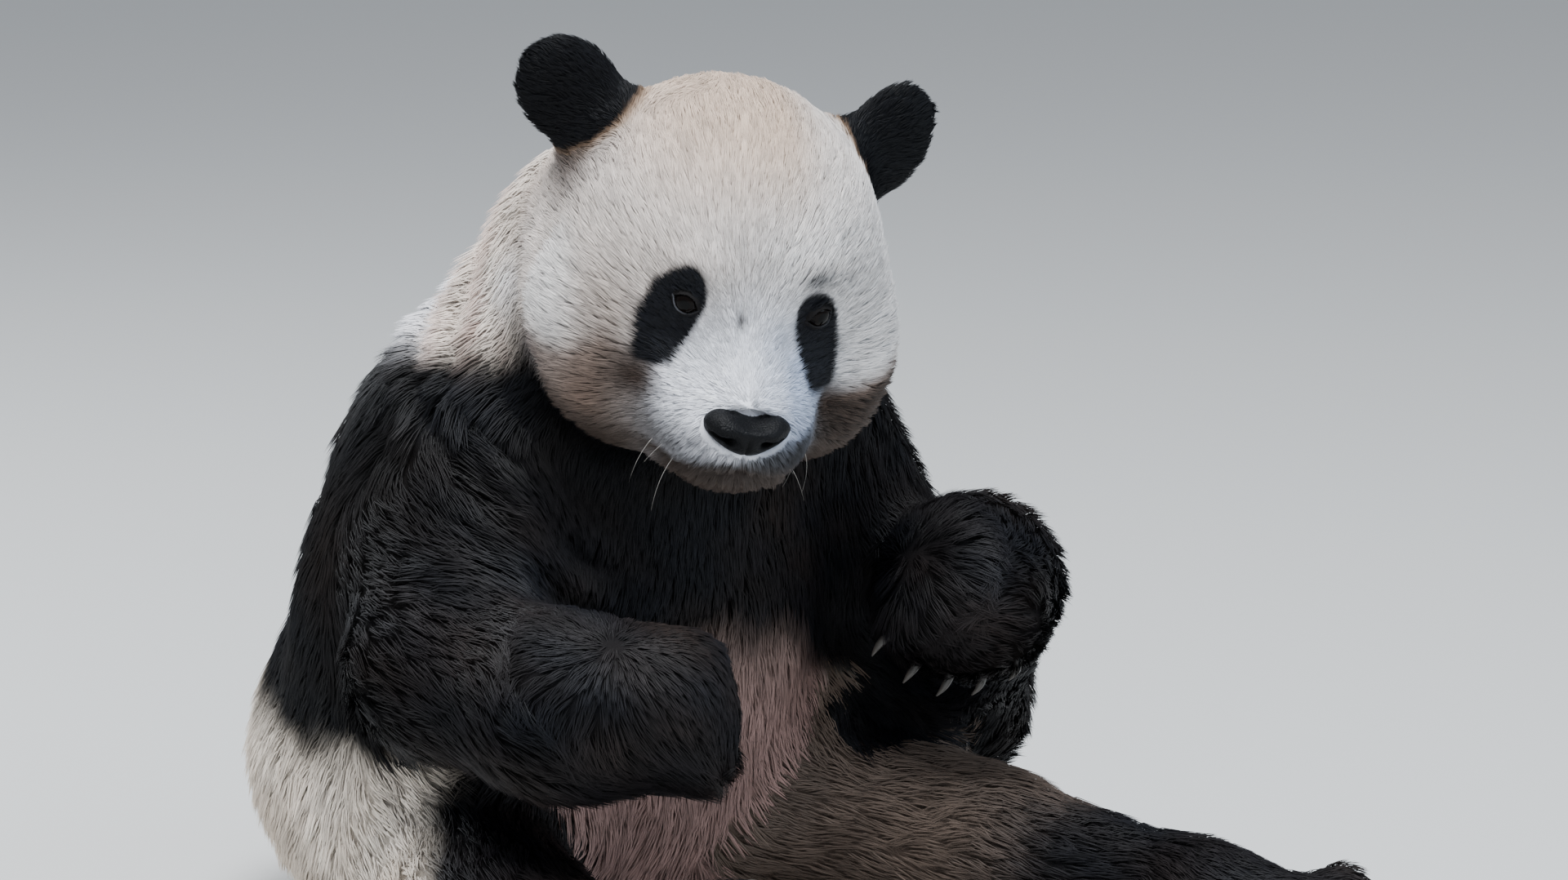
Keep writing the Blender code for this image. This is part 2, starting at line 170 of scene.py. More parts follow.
def unit(vectors):
    return vectors / np.maximum(np.linalg.norm(vectors, axis=-1, keepdims=True), 1e-12)


def norm(vectors):
    return np.linalg.norm(vectors, axis=-1)


def rise(low, high, x):
    """0 below low, 1 above high, smooth in between."""
    t = np.clip((x - low) / (high - low), 0, 1)
    return t * t * (3 - 2 * t)


def mix(a, b, share):
    share = np.asarray(share)[..., None]
    return a * (1 - share) + b * share


def bell(x, width):
    """1 at 0, falling off smoothly over a width."""
    return np.exp(-((x / width) ** 2))


def spot(x, z, at, size):
    """1 at a place on the face, falling off smoothly over a width and a height."""
    return np.exp(-(((x - at[0]) / size[0]) ** 2) - ((z - at[1]) / size[1]) ** 2)


def puff(points, place, radius):
    """1 at a place in space, falling off smoothly over a radius."""
    return np.exp(-((points - place) ** 2).sum(1) / radius**2)


def ripple(points, size, seed):
    """Smooth random values from about -1 to 1, with features of one size."""
    rng = np.random.default_rng(seed)
    ways = rng.normal(size=(10, 3)) / size
    return np.sin(points @ ways.T + rng.uniform(0, math.tau, 10)).sum(1) / 4


def middle(node):
    low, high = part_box(node)
    return (np.array(low) + np.array(high)) / 2


def kind(node):
    """The key of COAT that a flesh node belongs to."""
    return next(k for k in COAT if node.startswith(k))


def read(items, what, width, number=float):
    """What each item of a mesh has, as rows of numbers."""
    found = np.empty(len(items) * width, number)
    items.foreach_get(what, found)
    return found.reshape(-1, width)


def coordinates(mesh):
    return read(mesh.vertices, "co", 3)


def normals(mesh):
    return read(mesh.vertices, "normal", 3)


def move(mesh, points):
    mesh.vertices.foreach_set("co", points.ravel())
    mesh.update()


def triangles(mesh):
    mesh.calc_loop_triangles()
    return read(mesh.loop_triangles, "vertices", 3, int)


def edges(mesh):
    return read(mesh.edges, "vertices", 2, int)


def spread(pairs, values, rounds, share=0.5):
    """Evens values out along the mesh's edges."""
    count = len(values)
    a, b = np.concatenate([pairs, pairs[:, ::-1]]).T
    links = np.maximum(np.bincount(a, minlength=count), 1)
    flat = values.reshape(count, -1)
    for _ in range(rounds):
        mean = np.stack([np.bincount(a, column[b], count) / links for column in flat.T], 1)
        flat = flat + np.asarray(share).reshape(-1, 1) * (mean - flat)
    return flat.reshape(values.shape)


def new_object(name, mesh):
    obj = bpy.data.objects.new(name, mesh)
    bpy.context.scene.collection.objects.link(obj)
    return obj


def from_bmesh(name, bm):
    mesh = bpy.data.meshes.new(name)
    bm.to_mesh(mesh)
    bm.free()
    return new_object(name, mesh)


def smooth_shaded(mesh):
    mesh.polygons.foreach_set("use_smooth", np.ones(len(mesh.polygons), bool))


def set_tint(mesh, colours):
    """Keeps a colour for each vertex, which the materials read."""
    layer = mesh.color_attributes.new("tint", "FLOAT_COLOR", "POINT")
    rgba = np.ones((len(colours), 4))
    rgba[:, :3] = np.clip(colours, 0, 1)
    layer.data.foreach_set("color", rgba.ravel())


def ball(level):
    """A ball of radius 1, and the places of its vertices."""
    bm = bmesh.new()
    bmesh.ops.create_icosphere(bm, subdivisions=level, radius=1)
    return bm, np.array([v.co for v in bm.verts])


def finished(name, bm, colours):
    """A smooth object with a colour for each vertex."""
    made = from_bmesh(name, bm)
    set_tint(made.data, colours)
    smooth_shaded(made.data)
    return made


# ---- the head's own frame


def head_frame():
    """Origin and axes of the head, from the centres of the eyes and the nose."""
    left, right, nose = middle("eye_left"), middle("eye_right"), middle("nose")
    x = unit(left - right)
    drop = NOSE_IN_HEAD - EYE_IN_HEAD * (0, 1, 1)
    _, across, down = drop / np.linalg.norm(drop)
    run = nose - (left + right) / 2
    run = unit(run - run @ x * x)
    other = np.cross(x, run)
    y = across * run - down * other
    z = down * run + across * other
    axes = np.stack([x, y, z], 1)
    return (left + right) / 2 - axes @ (EYE_IN_HEAD * (0, 1, 1)), axes


HEAD_ORIGIN, HEAD_AXES = head_frame()


def in_head(points):
    return (points - HEAD_ORIGIN) @ HEAD_AXES


def out_of_head(points):
    return np.asarray(points) @ HEAD_AXES.T + HEAD_ORIGIN


# ---- the skin

EYES = [{"centre": middle(f"eye_{side}")} for side in ("left", "right")]
SLOT = {s["node"]: s["material_slot"] for s in record["subparts"]}
FLESH = sorted(n for n, s in SLOT.items() if s.startswith("coat"))
CLAWS = sorted(n for n, s in SLOT.items() if s == "horn")
PAWS = [f"{paw}_{side}" for paw in ("hand", "foot") for side in ("left", "right")]


def claw_axis(node):
    """Root, tip and the way of a node such as claw_hand_left_1, from the paw outwards."""
    points = coordinates(frame["nodes"][node].data)
    paw = middle(node[len("claw_"):-len("_1")])
    far = norm(points - paw)
    tip = points[far.argmax()]
    along = points @ unit(tip - points.mean(0))
    root = points[along < along.min() + 0.004].mean(0)
    return root, tip, unit(tip - root)


def raw_flesh():
    """The flesh nodes and round digit tips as one mesh, before their union."""
    bm = bmesh.new()
    for node in FLESH + ["eye_left", "eye_right", "nose"]:
        part = frame["nodes"][node].data.copy()
        move(part, coordinates(part) + normals(part) * NODE_OVERLAP)
        bm.from_mesh(part)
        bpy.data.meshes.remove(part)
    for node in CLAWS:
        root, _, way = claw_axis(node)
        for back, radius in DIGIT_BALLS:
            made = bmesh.ops.create_icosphere(bm, subdivisions=3, radius=radius)
            bmesh.ops.translate(bm, verts=made["verts"], vec=Vector(root - way * back))
    return from_bmesh("skin", bm)


def applied(obj, modifier, **settings):
    """Puts a modifier's result in the place of the object's mesh."""
    made = obj.modifiers.new(modifier.title(), modifier)
    for name, value in settings.items():
        setattr(made, name, value)
    graph = bpy.context.evaluated_depsgraph_get()
    mesh = bpy.data.meshes.new_from_object(obj.evaluated_get(graph))
    obj.modifiers.clear()
    obj.data = mesh


def from_eyes(points):
    """Distances from the nearer eye."""
    return np.minimum(*(norm(points - eye["centre"]) for eye in EYES))


def finer(mesh, level, reach):
    """Subdivides the skin: thrice round the eyes, twice at the mouth, once on the face."""
    bm = bmesh.new()
    bm.from_mesh(mesh)
    points = np.array([v.co for v in bm.verts])
    local = in_head(points)
    mouth = norm((local - (0, -0.165, -0.085)) / (0.062, 0.055, 0.030))
    wanted = (from_eyes(points) < reach) | ((mouth < 1) & (level < 2))
    wanted |= (local[:, 1] < -0.115) & (local[:, 2] > -0.12) & (level < 1)
    wanted &= norm(local) < HEAD_REACH
    near = {v for v, w in zip(bm.verts, wanted) if w}
    chosen = [e for e in bm.edges if e.verts[0] in near and e.verts[1] in near]
    bmesh.ops.subdivide_edges(bm, edges=chosen, cuts=1, use_grid_fill=True)
    bmesh.ops.triangulate(bm, faces=[f for f in bm.faces if len(f.verts) > 4])
    bm.to_mesh(mesh)
    bm.free()


def node_of(points):
    """For each point, the index in FLESH of the node that it lies on."""
    corners, faces, owner = [], [], []
    for i, node in enumerate(FLESH):
        mesh = frame["nodes"][node].data
        start = len(corners)
        corners += [v.co[:] for v in mesh.vertices]
        faces += [[start + v for v in face.vertices] for face in mesh.polygons]
        owner += [i] * len(mesh.polygons)
    tree = BVHTree.FromPolygons(corners, faces)
    return np.array([owner[tree.find_nearest(p)[2]] for p in points])


def coat_values(points, pairs):
    """Depth, length, width, density and rise of the coat at each point of the skin."""
    nodes = node_of(points)
    table = np.array([COAT[kind(n)] for n in FLESH])
    values = spread(pairs, table[nodes], 14)
    local = in_head(points)
    from_nose = norm(local - NOSE_IN_HEAD)
    face = rise(-0.02, -0.07, local[:, 1]) * (from_nose < 0.26)
    short = mix(MUZZLE_COAT, FACE_COAT, rise(0.04, 0.17, from_nose))
    eyes = rise(0.045, 0.018, from_eyes(points))
    short[:, LENGTH] *= 1 - 0.5 * eyes
    short[:, DEPTH] *= 1 - 0.25 * eyes
    short[:, DENSITY] *= 1 + 0.8 * eyes
    values = mix(values, short, face)
    cheeks = rise(0.090, 0.125, np.abs(local[:, 0])) * rise(0.040, -0.020, local[:, 2])
    cheeks *= (norm(local) < HEAD_REACH) * (local[:, 2] > -0.14)
    values[:, LENGTH] *= 1 + 0.30 * cheeks
    values[:, STEEPNESS] *= 1 + 0.08 * cheeks
    return values, nodes


def dig(along, depth, width):
    """A groove's depth at a distance from its middle line."""
    return -depth * bell(along, width)


def gape_height(side):
    """Height of the line between the lips, at a distance from the middle of the face."""
    return -0.0805 - 0.004 * rise(0.002, 0.028, side) - 0.012 * rise(0.030, 0.058, side)


def neck_folds(local):
    """-1 in the grooves to 1 on the rolls of loose skin that follow the head's right side."""
    away = norm(local * (1, 1, 0.8))
    where = rise(0.175, 0.200, away) * rise(0.31, 0.26, away) * rise(-0.03, -0.09, local[:, 0])
    where = where * rise(0.075, 0.035, local[:, 2])
    return where * np.sin(2 * math.pi * (away + 0.006 * ripple(local, 0.05, 51)) / 0.038)


def sculpt_face(points, ways):
    """Brow, neck folds, muzzle and mouth, as moves along the skin's normals, and the
    bed behind the nose."""
    local = in_head(points)
    x, y, z = np.abs(local[:, 0]), local[:, 1], local[:, 2]
    front = rise(-0.06, -0.10, y)
    lift = np.zeros(len(points))
    # brow over each eye, hollow under it, the dip between the eyes and by the muzzle
    lift += 0.0040 * spot(x, z, (0.056, 0.065), (0.026, 0.013)) * front
    lift -= 0.0030 * spot(x, z, (0.068, 0.002), (0.020, 0.014)) * front
    lift -= 0.0030 * spot(x, z, (0, 0.042), (0.016, 0.030)) * front
    lift -= 0.0025 * spot(x, z, (0.032, 0.016), (0.010, 0.020)) * front
    # folds of the neck, and a short wrinkle on the bridge of the nose
    lift += 0.0050 * neck_folds(local)
    lift += dig(local[:, 0] + 0.012, 0.0022, 0.0030) * bell(z - 0.032, 0.007) * front
    # the muzzle stands out from the cheeks
    beside = spot(x, z, (0.086, -0.050), (0.016, 0.034))
    lift -= 0.0060 * beside * rise(-0.03, -0.08, y)
    muzzle = spot(x, z, (0.050, -0.058), (0.020, 0.028))
    lift += 0.0030 * muzzle * rise(-0.09, -0.13, y)
    # whisker pads, the line between the nostrils and the lips, and the mouth
    pad = spot(x, z, (0.030, -0.078), (0.020, 0.016))
    lift += 0.0035 * pad * rise(-0.12, -0.15, y)
    middle_line = dig(x, 0.0040, 0.0020) * rise(-0.090, -0.084, z) * rise(-0.050, -0.062, z)
    lift += middle_line * rise(-0.15, -0.17, y)
    gape = gape_height(x)
    lips = rise(-0.105, -0.125, y) * rise(0.064, 0.054, x)
    lift += dig(z - gape + 0.0010, 0.0080, 0.0036) * lips
    lift += 0.0025 * bell(z - gape + 0.0105, 0.005) * lips
    nose = (local - NOSE_IN_HEAD) / (0.034, 0.030, 0.019)
    behind = rise(1.0, 0.75, norm(nose))[:, None]
    return points + ways * lift[:, None] + 0.016 * behind * HEAD_AXES[:, 1]


def eye_places(mesh):
    """For each eye: its centre under the skin and the ways along, up and out."""
    points, ways = coordinates(mesh), normals(mesh)
    places = []
    for side, sign in (("left", 1), ("right", -1)):
        away = norm(points - middle(f"eye_{side}"))
        local_out = np.array([sign * 0.40, -0.91, 0.06])
        out = unit(unit(ways[away < 0.024].mean(0)) * 0.4 + HEAD_AXES @ unit(local_out) * 0.6)
        close = away < 0.012
        close[away.argmin()] = True
        level = points[close] @ out
        centre = middle(f"eye_{side}")
        centre = centre + out * (level.mean() - EYE_DEPTH - centre @ out)
        along = unit(np.cross(HEAD_AXES[:, 2], out)) * sign
        up = np.cross(out, along) * sign
        turn = -APERTURE_SLANT
        along, up = (
            along * math.cos(turn) - up * math.sin(turn),
            up * math.cos(turn) + along * math.sin(turn),
        )
        places.append({"side": side, "centre": centre, "along": along, "up": up, "out": out})
    return places


def in_eye(points, eye):
    """Places along, up and out from an eye's centre."""
    away = points - eye["centre"]
    return away @ eye["along"], away @ eye["up"], away @ eye["out"]


def aperture_edge(u):
    """Heights of the upper and lower lid margins along the eye."""
    half, above, below = APERTURE
    t = np.clip(np.abs(u) / half, 0, 1)
    return above * (1 - t**2.2), -below * (1 - t**2.6)


def shape_lids(points):
    """Draws the skin over each eye as lids and tucks it behind the eye between them."""
    for eye in EYES:
        u, v, w = in_eye(points, eye)
        ring = np.hypot(u, v)
        near = (ring < 0.030) & (w > -0.010)
        outer = EYE_RADIUS + LID
        dome = np.sqrt(np.maximum(outer**2 - ring**2, 0))
        gap = np.clip(0.5 + 0.5 * (dome - w) / LID_BLEND, 0, 1)
        target = w * (1 - gap) + dome * gap + LID_BLEND * gap * (1 - gap) * 0.5
        target = np.where(ring < outer * 0.995, target, w)
        top, bottom = aperture_edge(u)
        inside = np.minimum(top - v, v - bottom)
        inside = np.where(np.abs(u) < APERTURE[0], inside, -1.0)
        # rounded margins stand out a little, then the skin dives behind the eye
        margin = bell(inside + 0.0012, 0.0011)
        target += 0.0007 * margin * (ring < outer)
        behind = np.sqrt(np.maximum(EYE_RADIUS**2 - ring**2, 0)) - 0.0030
        target = np.where(inside > 0, behind, target)
        # a crease over the upper lid
        target -= 0.0011 * bell(v - top - 0.0052, 0.0013) * (ring < 0.019)
        points = points + np.where(near, target - w, 0)[:, None] * eye["out"]
    return points


def bald_places(points):
    """0 where no tuft grows: between the lids and on the nose."""
    kept = np.ones(len(points))
    for eye in EYES:
        u, v, w = in_eye(points, eye)
        top, bottom = aperture_edge(u)
        inside = np.minimum(top + 0.0022 - v, v - bottom + 0.0022)
        open_eye = (inside > 0) & (np.abs(u) < APERTURE[0] + 0.002) & (w > 0)
        kept[open_eye | (norm(points - eye["centre"]) < EYE_RADIUS)] = 0
    local = in_head(points) - NOSE_IN_HEAD
    dip = 0.0085 * bell(local[:, 0] - 0.003, 0.016)
    within = ((local / (0.036, 0.024, 0.0195)) ** 2).sum(1) < 1
    kept[within & (local[:, 2] < 0.0185 - dip)] = 0
    return kept


def rimmed(points, colours):
    """The skin's colours with the dark lid margins and a painted highlight on the wet rim below
    the eye.
    """
    for eye in EYES:
        u, v, w = in_eye(points, eye)
        top, bottom = aperture_edge(u)
        gap = np.minimum(top - v, v - bottom)
        near = (np.hypot(u, v) < 0.018) & (w > 0) & (np.abs(u) < APERTURE[0] + 0.002)
        rim = near * bell(gap + 0.0008, 0.0007)
        # painted highlight on the wet lower rim, stronger towards one corner and dimmer on the
        # left eye
        low = rim * (v < top * 0.3) * (0.25 + 0.75 * rise(-0.007, 0.004, u))
        low *= 0.45 if eye["side"] == "left" else 1.0
        colours = mix(colours, LID_MARGIN, near * rise(-0.006, -0.003, gap))
        colours = mix(colours, RIM_HIGHLIGHT, 0.9 * low)
    return colours


def make_skin():
    """The skin, and what each of its vertices says about the coat over it."""
    skin = raw_flesh()
    applied(skin, "REMESH", mode="VOXEL", voxel_size=SKIN_VOXEL)
    mesh = skin.data
    pairs = edges(mesh)
    # round off the solids' facets, then go in by the coat's depth
    points = spread(pairs, coordinates(mesh), 16)
    move(mesh, points)
    values, _ = coat_values(points, pairs)
    depth = spread(pairs, values[:, DEPTH], 6)
    ways = unit(spread(pairs, normals(mesh), 5))
    points = spread(pairs, points - ways * depth[:, None], 4)
    points[:, 2] = np.maximum(points[:, 2], SKIN_FLOOR)
    move(mesh, points)
    EYES[:] = eye_places(mesh)
    for level, reach in enumerate(FINER_ROUND_EYE):
        finer(mesh, level, reach)
        evened = 0.5 * (in_head(coordinates(mesh))[:, 1] < -0.05)
        move(mesh, spread(edges(mesh), coordinates(mesh), 3, evened))
    move(mesh, sculpt_face(coordinates(mesh), normals(mesh)))
    pairs = edges(mesh)
    ways = unit(spread(pairs, normals(mesh), 4))
    points = shape_lids(coordinates(mesh))
    coat, nodes = coat_values(points, pairs)
    move(mesh, points)
    fields = {
        "coat": coat,
        "nodes": nodes,
        "ways": ways,
        "lie": lie_of_coat(points, ways, nodes, pairs),
        "bald": bald_places(points),
        "tint": rimmed(points, tint_of(points, nodes)),
    }
    return skin, fields


# ---- markings


def eye_patch(local):
    """Above 0 inside the black patch round each eye: metres from its edge, about."""
    left = local[:, 0] > 0
    x = np.abs(local[:, 0]) - np.where(left, 0.0620, 0.0690)
    z = local[:, 2] - np.where(left, 0.0110, 0.0185)
    down, side = np.array([0.28, -0.96]), np.array([0.96, 0.28])
    a, b = x * down[0] + z * down[1], x * side[0] + z * side[1]
    wide = np.where(left, 0.0198, 0.0232) - 0.0012 * np.clip(a / 0.045, -1, 1)
    reach = 1 - (np.abs(a / 0.0505) ** 2.3 + np.abs(b / wide) ** 2.3) ** (1 / 2.3)
    return np.where(local[:, 1] < -0.035, reach * 0.024, -0.05)


def head_tint(local):
    """Cream, whiter on the muzzle and tanner on the crown, with stains by the mouth, and painted
    shade on the muzzle's left and under the nose, chin and jaw.
    """
    x, y, z = local.T
    side = np.abs(x)
    left = x > 0
    front = y < 0
    patchy = ripple(local, 0.030, 11)
    from_nose = norm(local - NOSE_IN_HEAD)
    colour = mix(CREAM * 0.87, WHITE * 0.87, 0.45)
    colour = mix(colour, WHITE, 0.90 * rise(0.15, 0.07, from_nose))
    # tan crown, warm right half, brown right temple, pale edge of the right cheek
    crown = rise(0.085, 0.165, z) + 0.5 * rise(0.03, 0.11, y)
    crown = np.clip(crown, 0, 1) * (1 - 0.60 * rise(0.015, 0.065, x))
    colour = mix(colour, CROWN, 0.85 * crown)
    warm = rise(0.03, -0.09, x) * rise(0.08, 0.14, from_nose)
    colour = mix(colour, WARM_CREAM, 0.42 * warm)
    temple = spot(x, z, (-0.115, 0.002), (0.020, 0.030)) * front
    colour = mix(colour, TEMPLE, 0.50 * temple)
    outer = rise(-0.130, -0.152, x) * rise(-0.070, -0.035, z) * rise(0.060, 0.020, z) * front
    colour = mix(colour, CHEEK_EDGE, 0.75 * outer)
    # a brown stain on each cheek, darkest by the muzzle, with painted shade added low on the left
    # cheek
    cheek = rise(0.062, 0.082, side) * rise(0.190, 0.155, side) * rise(0.03, -0.03, y)
    down = z + np.where(left, -0.30, 1.25) * np.maximum(side - 0.118, 0)
    stain = cheek * rise(0.004, -0.026, down - np.where(left, -0.027, -0.002))
    stain = np.clip(stain * (0.9 + 0.2 * patchy), 0, 0.96)
    colour = mix(colour, mix(STAIN_OUTER, STAIN_INNER, rise(0.124, 0.094, side)), stain)
    # painted shade over the stain, low on the left cheek
    dark = cheek * rise(-0.040, -0.056, down) * left * (0.95 + 0.1 * patchy)
    colour = mix(colour, STAIN_AND_SHADE_LOW_LEFT, np.clip(dark, 0, 0.95))
    at = np.where(left, 0.078, 0.086), -0.044
    core = spot(side, z, at, (np.where(left, 0.018, 0.026), 0.019))
    colour = mix(colour, STAIN_CORE, 0.90 * core * rise(0.060, 0.078, side) * front)
    # shade on the muzzle's left, wrinkles over the left eye and on the bridge
    shaded = rise(-0.002, 0.022, x) * rise(0.085, 0.065, x) * rise(0.050, 0.015, z)
    shaded *= 0.40 + 0.60 * rise(0.024, 0.046, x) * rise(0.020, -0.010, z)
    colour = mix(colour, colour * MUZZLE_SHADE, shaded * rise(-0.09, -0.13, y))
    wrinkle = spot(x, z, (0.051, 0.070), (0.017, 0.0080)) * front
    colour = mix(colour, BROW_WRINKLE, 0.85 * wrinkle)
    bridge = spot(x, z, (-0.012, 0.031), (0.0055, 0.0070)) * front
    colour = mix(colour, BRIDGE_WRINKLE, 0.90 * bridge)
    # chin, brownish and darkened with painted shade, lips, speckled whisker pads, the mouth's
    # right corner, greyer fur under the nose darkened with painted shade, and painted shade under
    # the jaw
    chin = rise(-0.090, -0.100, z) * rise(-0.09, -0.13, y) * rise(0.062, 0.048, side)
    colour = mix(colour, CHIN_BROWN_AND_SHADE, 0.92 * chin)
    lips = bell(z - gape_height(side), 0.0062) * rise(0.078, 0.060, side)
    colour = mix(colour, LIPS, lips * rise(-0.10, -0.12, y))
    speckled = 0.5 + 0.5 * ripple(local, 0.0035, 47)
    pads = spot(side, z, (0.046, -0.072), (0.028, 0.019))
    pads *= np.clip(0.45 + speckled, 0, 1) * rise(-0.10, -0.14, y)
    colour = mix(colour, WHISKER_PAD, 0.88 * pads)
    corner = spot(x, z, (-0.068, -0.077), (0.016, 0.015)) * front
    colour = mix(colour, MOUTH_CORNER, 0.80 * corner)
    # greyer fur under the nose, darkened with painted shade
    low = z - 0.35 * np.clip(x, 0, 0.05) + 0.5 * np.clip(-0.02 - x, 0, 0.05)
    under = rise(-0.064, -0.077, low) * rise(-0.13, -0.17, y)
    colour = mix(colour, GREY_AND_SHADE_UNDER_NOSE, 0.92 * under)
    # painted shade under the jaw, darker towards the bottom of the head
    jaw = rise(-0.078, -0.104, z - 0.12 * np.maximum(0.10 - side, 0))
    colour = mix(colour, SHADE_UNDER_JAW, 0.88 * jaw)
    edge = eye_patch(local) + 0.0014 * ripple(local, 0.010, 13)
    return mix(colour, BLACK * 1.1, rise(-0.0020, 0.0022, edge))


def trunk_black(points):
    """1 in the black band round the shoulders and chest, 0 off it."""
    x, y, z = points.T
    y = y + 0.10
    round_trunk = np.hypot(x, y) + 1e-9
    front, back = np.clip(-y / round_trunk, 0, 1), np.clip(y / round_trunk, 0, 1)
    ragged = 0.010 * ripple(points, 0.035, 17) + 0.006 * ripple(points, 0.014, 19)
    low = 0.192 + 0.10 * front**2 + 0.20 * rise(0.68, 1.0, back)
    high = 0.535 + 0.010 * front + 0.015 * back
    return rise(-0.022, 0.022, z - low + ragged) * rise(0.016, -0.016, z - high + ragged)


def tint_of(points, nodes):
    """The colour of the coat at places on the skin, with painted shade in places."""
    kinds = np.array([kind(n) for n in FLESH])[nodes]
    x, y, z = points.T
    local = in_head(points)
    across, along, up = local.T
    ragged = ripple(points, 0.030, 23)
    colour = mix(CREAM * 1.06, TAN, 0.12 + 0.08 * ragged)
    # the haunches and the seat are soiled near the ground
    dirt = rise(0.24, 0.02, z) * (0.55 + 0.35 * ripple(points, 0.045, 29))
    colour = mix(colour, SOILED, np.clip(dirt, 0, 0.85))
    # brown belly between the thighs
    belly = rise(-0.12, -0.20, y) * rise(0.24, 0.18, np.abs(x)) * rise(0.36, 0.30, z)
    colour = mix(colour, mix(BELLY_LOW, BELLY_HIGH, rise(0.20, 0.34, z)), belly)
    # the neck: warm cream with pink folds, white by the shoulders, a grey crease below, darkened
    # with painted shade where the neck folds under the head
    neck = kinds == "neck"
    groove = np.clip(-neck_folds(local), 0, 1)
    colour = mix(colour, NECK_CREAM, 0.60 * neck)
    colour = mix(colour, NECK_PINK, 0.60 * groove * neck)
    colour = mix(colour, WHITE, 0.85 * rise(0.255, 0.310, norm(local)) * neck)
    crease = rise(-0.120, -0.145, across) * rise(-0.045, -0.078, up)
    crease *= bell(along + 0.012, 0.038) * rise(-0.20, -0.15, up)
    grey = mix(NECK_CREASE_GREY_AND_SHADE, BLACK, rise(-0.084, -0.104, up))
    nape = puff(local, (-0.173, 0.046, -0.058), 0.030) * neck
    colour = mix(colour, NAPE, nape)
    # the black of the shoulders, chest and arms, browner on the breast, and darkened with painted
    # shade everywhere but low in front, on the forearms and hands
    band = trunk_black(points)
    dark = mix(BLACK, BLACK_BROWN, np.clip(0.25 + 0.35 * ragged, 0, 1))
    # painted light and shade: the black is lighter low in front and darker elsewhere
    lit_front = rise(-0.18, -0.32, y) * rise(0.46, 0.38, z)
    dark = dark * (0.42 + 0.48 * lit_front)[:, None]
    colour = mix(colour, dark, band)
    arm = np.isin(kinds, ["upper_arm", "forearm", "hand"])
    colour = np.where(arm[:, None], dark, colour)
    # the hind legs turn black towards the knee, the left one by way of brown
    knee = -0.310 + 1.15 * np.clip(0.30 - np.abs(x), 0, 0.20)
    knee += 0.12 * rise(0.11, 0.15, z) * rise(0.22, 0.28, x)
    leg = np.isin(kinds, ["thigh", "shin", "foot"])
    black_leg = rise(0.030, -0.030, y - knee + 0.014 * ragged) * leg
    brown_leg = mix(LEG_BROWN, dark, rise(-0.36, -0.48, y))
    colour = mix(colour, np.where((x > 0)[:, None], brown_leg, dark), black_leg)
    # the head, with black ears that have a brown edge, and tan fur at their base
    head = np.isin(kinds, ["head", "ear"])
    off = np.minimum(*(norm((local - centre) / reach) for centre, reach in EARS_IN_HEAD))
    off += 0.05 * ripple(points, 0.012, 43)
    ears = mix(BLACK * 0.5, EAR_EDGE, 0.75 * rise(0.90, 1.0, off))
    base = mix(head_tint(local), EAR_BASE, 0.7 * rise(1.20, 1.04, off))
    colour = np.where(head[:, None], mix(ears, base, rise(0.98, 1.06, off)), colour)
    # the neck crease: grey fur and painted shade
    colour = mix(colour, grey, 0.95 * crease)
    under = puff(local, (-0.145, 0.042, 0.070), 0.042) * (off > 1.0)
    return mix(colour, UNDER_EAR, under)


# ---- lie of the coat

# For each kind of node, the nodes that its fur runs from and to.
FOLLOWS = {
    "neck": ("head", "chest"),
    "chest": ("neck", "abdomen"),
    "abdomen": ("chest", "pelvis"),
    "pelvis": ("chest", "pelvis"),
    "tail": ("chest", "tail"),
    "upper_arm": ("upper_arm", "forearm"),
    "forearm": ("upper_arm", "hand"),
    "hand": ("forearm", "hand"),
    "thigh": ("pelvis", "shin"),
    "shin": ("thigh", "foot"),
    "foot": ("shin", "foot"),
}
# The fur turns outwards from a place on the back of each wrist.
WRIST_WHORLS = ((-0.216, -0.462, 0.336), (0.178, -0.354, 0.354))


def node_way(node):
    """The way that the fur of a node points, from the node before it to the next."""
    before, after = FOLLOWS[kind(node)]
    side = node[len(kind(node)):]

    def at(name):
        return middle(name + side if name + side in SLOT else name)

    return unit(at(after) - at(before))


def lie_of_coat(points, ways, nodes, pairs):
    """Unit vectors along the skin that the tufts follow."""
    local = in_head(points)
    flow = np.zeros_like(points)
    for i, node in enumerate(FLESH):
        here = nodes == i
        if kind(node) == "head":
            flow[here] = unit(local[here] - (0, -0.185, -0.030)) @ HEAD_AXES.T
        elif kind(node) == "ear":
            flow[here] = unit(points[here] - (0.65 * middle(node) + 0.35 * middle("head")))
        else:
            flow[here] = node_way(node)
    for whorl in WRIST_WHORLS:
        away = points - whorl
        flow = mix(flow, unit(away), rise(0.11, 0.05, norm(away)))
    flow[:, 2] -= 0.12 * (local[:, 1] > -0.02)
    for _ in range(4):
        flow = unit(flow - (flow * ways).sum(1, keepdims=True) * ways)
        flow = spread(pairs, flow, 6)
    flow = unit(flow - (flow * ways).sum(1, keepdims=True) * ways)
    turn = 0.28 * ripple(points, 0.030, 31) + 0.12 * ripple(points, 0.011, 37)
    turn *= 1 - 0.7 * (norm(local) < 0.25)
    across = np.cross(ways, flow)
    return flow * np.cos(turn)[:, None] + across * np.sin(turn)[:, None]


# ---- tufts

